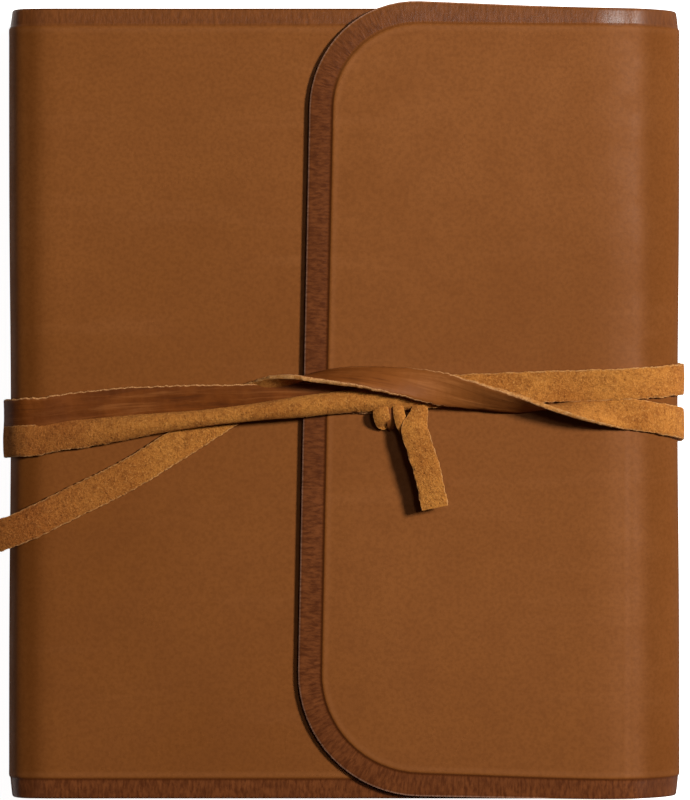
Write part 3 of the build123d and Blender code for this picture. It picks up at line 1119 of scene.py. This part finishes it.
def under_back(y_fore, y_spine, roll, turn):
    """Keys under the back cover, from the fore-edge to the spine; the lace is pinched where it turns over."""
    keys = []
    pinched = 0.12
    stations = [(0.12, 0, 1), (0.38, 0, 1), (0.45, 0, pinched)]
    stations += [(0.55, 1, pinched), (0.62, 1, 1), (0.88, 1, 1)]
    for share, spin, width in stations:
        x = FORE_X + (SPINE_X - FORE_X) * share
        y = y_fore + (y_spine - y_fore) * share
        size = STRAP_WIDTH * (width if turn else 1)
        keys.append((x, y, UNDER_LACE_Z, 0, -1, roll + turn * spin, 2, size))
    return keys


def knot_stretches():
    """The small loops of the knot, below the second run: suede, a turn that shows its grain side, suede."""
    high = FLAP_LACE_Z
    outer = [
        (10.4, 1, high + 0.6, SUEDE + 8, 60, 3.6),
        (10.3, -1.6, high + 2.3, SUEDE + 8, 60, 4.2),
        (10.5, -3.6, high + 2.9, SUEDE + 6, 50, 4.5),
        (10.9, -5, high + 2.2, SUEDE + 4, 40, 4.3),
        (11.2, -5.6, high + 0.8, SUEDE, 40, 4),
        (11.3, -5.4, high - 0.2, SUEDE, 40, 3.6),
    ]
    turn = [
        (13.6, 0.4, high + 0.4, GRAIN, -40, 2.6),
        (13.5, -2.4, high + 1.9, GRAIN, -40, 2.8),
        (13.5, -5.2, high + 1.9, GRAIN, -40, 2.8),
        (13.7, -6.6, high + 0.9, GRAIN, -40, 2.6),
        (13.8, -6.8, high - 0.2, GRAIN, -40, 2.4),
    ]
    inner = [
        (15.2, 0.6, high + 0.8, SUEDE - 10, 60, 2.4),
        (15.4, -2, high + 2.8, SUEDE - 10, 70, 2.8),
        (15.9, -4.4, high + 3.3, SUEDE - 8, 70, 3),
        (16.7, -6.8, high + 2.9, SUEDE - 6, 60, 3),
        (17.6, -8.8, high + 1.6, SUEDE, 50, 2.6),
        (18, -9.6, high + 0.2, SUEDE, 50, 2.2),
    ]
    return [lace_rows(on_front(stations), 0.3)[0] for stations in (outer, turn, inner)]


def knot_end():
    """The cut end that stands out of the knot."""
    high = FLAP_LACE_Z
    stations = [
        (21.6, 1.4, high + 0.9, SUEDE, 40, 4.2),
        (21.5, -1.8, high + 2.2, SUEDE, 40, 4.6),
        (20.9, -4.2, high + 3.2, SUEDE, 30, 5.8),
        (20.1, -6.8, high + 3.9, SUEDE, 22, 7.6),
        (21.5, -12.6, high + 4.4, SUEDE, 16, 7.9),
        (23.3, -18.4, high + 4.5, SUEDE, 12, 7.9),
        (25, -25.8, high + 4.1, SUEDE, 10, 7.9),
        (25.9, -30, high + 3.8, SUEDE, 8, 7.9),
    ]
    return [lace_rows(on_front(stations), 0.4)[0]]


def long_lace():
    """The lace from its loose end to the knot, cut into stretches where the book's folds cross it."""
    parts = {
        "third_run": third_run(),
        "fore_lower": round_fore_edge(-3.2, -6.2, -8, SUEDE),
        "back_lower": under_back(-8.2, -11.6, SUEDE, 0),
        "spine_lower": round_spine(-11.8, -10.7, 0.5, SUEDE),
        "second_run": second_run(),
        "fore_upper": round_fore_edge(5.7, 7.2, 7.4, SUEDE),
        "back_upper": under_back(7.2, -2.9, SUEDE, 180),
        "spine_upper": round_spine(-4.2, -2.9, 0, GRAIN + 360),
        "first_run": first_run(),
    }
    keys, spans = [], {}
    for name, part in parts.items():
        spans[name] = (len(keys), len(keys) + len(part) - 1)
        keys += part
    rows, marks = lace_rows(keys)

    def stretch(first, last):
        return rows[marks[first] : marks[last] + 1]

    stretches = {}
    for name, (first, last) in spans.items():
        if name.startswith("fore"):
            middle = (first + last) // 2
            stretches[name + "_front"] = stretch(first, middle)
            stretches[name + "_back"] = stretch(middle, last)
        elif name.startswith("spine"):
            stretches[name] = stretch(first, last)
        else:  # the runs reach to the turns beside them
            stretches[name] = stretch(max(first - 1, 0), min(last + 1, len(keys) - 1))
    return stretches


def strap():
    """The strap's pieces: those on the front and round the spine go with the flap."""
    lace = long_lace()
    lace_piece("strap_third_run_lace", [lace["third_run"]], ["strap_third_run", "strap_loose_end"], "flap")
    lace_piece("strap_second_run_lace", [lace["second_run"]], ["strap_second_run"], "flap")
    lace_piece("strap_first_run_lace", [lace["first_run"]], ["strap_first_run"], "flap")
    lace_piece("strap_knot_loops", knot_stretches(), ["strap_knot"], "flap", 4)
    lace_piece("strap_knot_end_lace", knot_end(), ["strap_knot_end"], "flap", 5)
    for level in ("lower", "upper"):
        spine = f"spine_{level}"
        piece = lace_piece(f"strap_{spine}_lace", [lace[spine]], [f"strap_{spine}"], "flap")
        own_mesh(piece)
        under = f"back_{level}"
        lace_piece(f"strap_{under}_lace", [lace[under]], [f"strap_{under}"], "back_cover")
        fore = f"fore_{level}"
        front = lace_piece(f"strap_{fore}_front_lace", [lace[fore + "_front"]], [f"strap_{fore}"])
        back = lace_piece(f"strap_{fore}_back_lace", [lace[fore + "_back"]], [f"strap_{fore}"])
        bend(front, *FORE_FRONT_FOLD)
        bend(back, *FORE_BACK_FOLD)


# ---- stage, light and camera


def stage():
    """A plain floor."""
    reach = 4000
    corners = [(-reach, -reach, 0), (reach, -reach, 0), (reach, reach, 0), (-reach, reach, 0)]
    make_object("floor", corners, [(0, 1, 2, 3)], [floor_paint()])


def area_light(name, place, size, power, colour=(1, 1, 1)):
    """A round soft lamp that shines at the middle of the book."""
    target = (0, 0, 0.02)
    data = bpy.data.lights.new(name, "AREA")
    data.shape = "DISK"
    data.size = size
    data.energy = power
    data.color = colour
    light = new_object(name, data)
    light.location = place
    light.rotation_euler = (Vector(target) - Vector(place)).to_track_quat("-Z", "Y").to_euler()


def lights():
    """A small bright key from the fore-edge side, a weak lamp overhead and a dim warm room."""
    area_light("key", (1.10, 0.39, 1.15), 0.30, 34.8, (1, 0.98, 0.95))
    area_light("overhead", (0.42, 0.42, 1.5), 0.3, 3)
    world = bpy.data.worlds.new("studio")
    world.use_nodes = True
    background = world.node_tree.nodes["Background"]
    background.inputs["Color"].default_value = (1, 0.8, 0.68, 1)
    background.inputs["Strength"].default_value = 0.035
    bpy.context.scene.world = world
    bpy.context.scene.view_settings.view_transform = "Standard"


def camera():
    """Straight above the closed book, a metre from its front."""
    distance = 1.0
    frame_height = 0.2316  # what the picture covers at the front cover
    data = bpy.data.cameras.new("camera")
    data.sensor_width = 36.0
    data.lens = data.sensor_width * distance / frame_height
    view = new_object("camera", data)
    view.location = (0, 0.001, FRONT_OUT * MM + distance)
    bpy.context.scene.camera = view


hide_pieces()
refill()
strap()
stage()
lights()
camera()
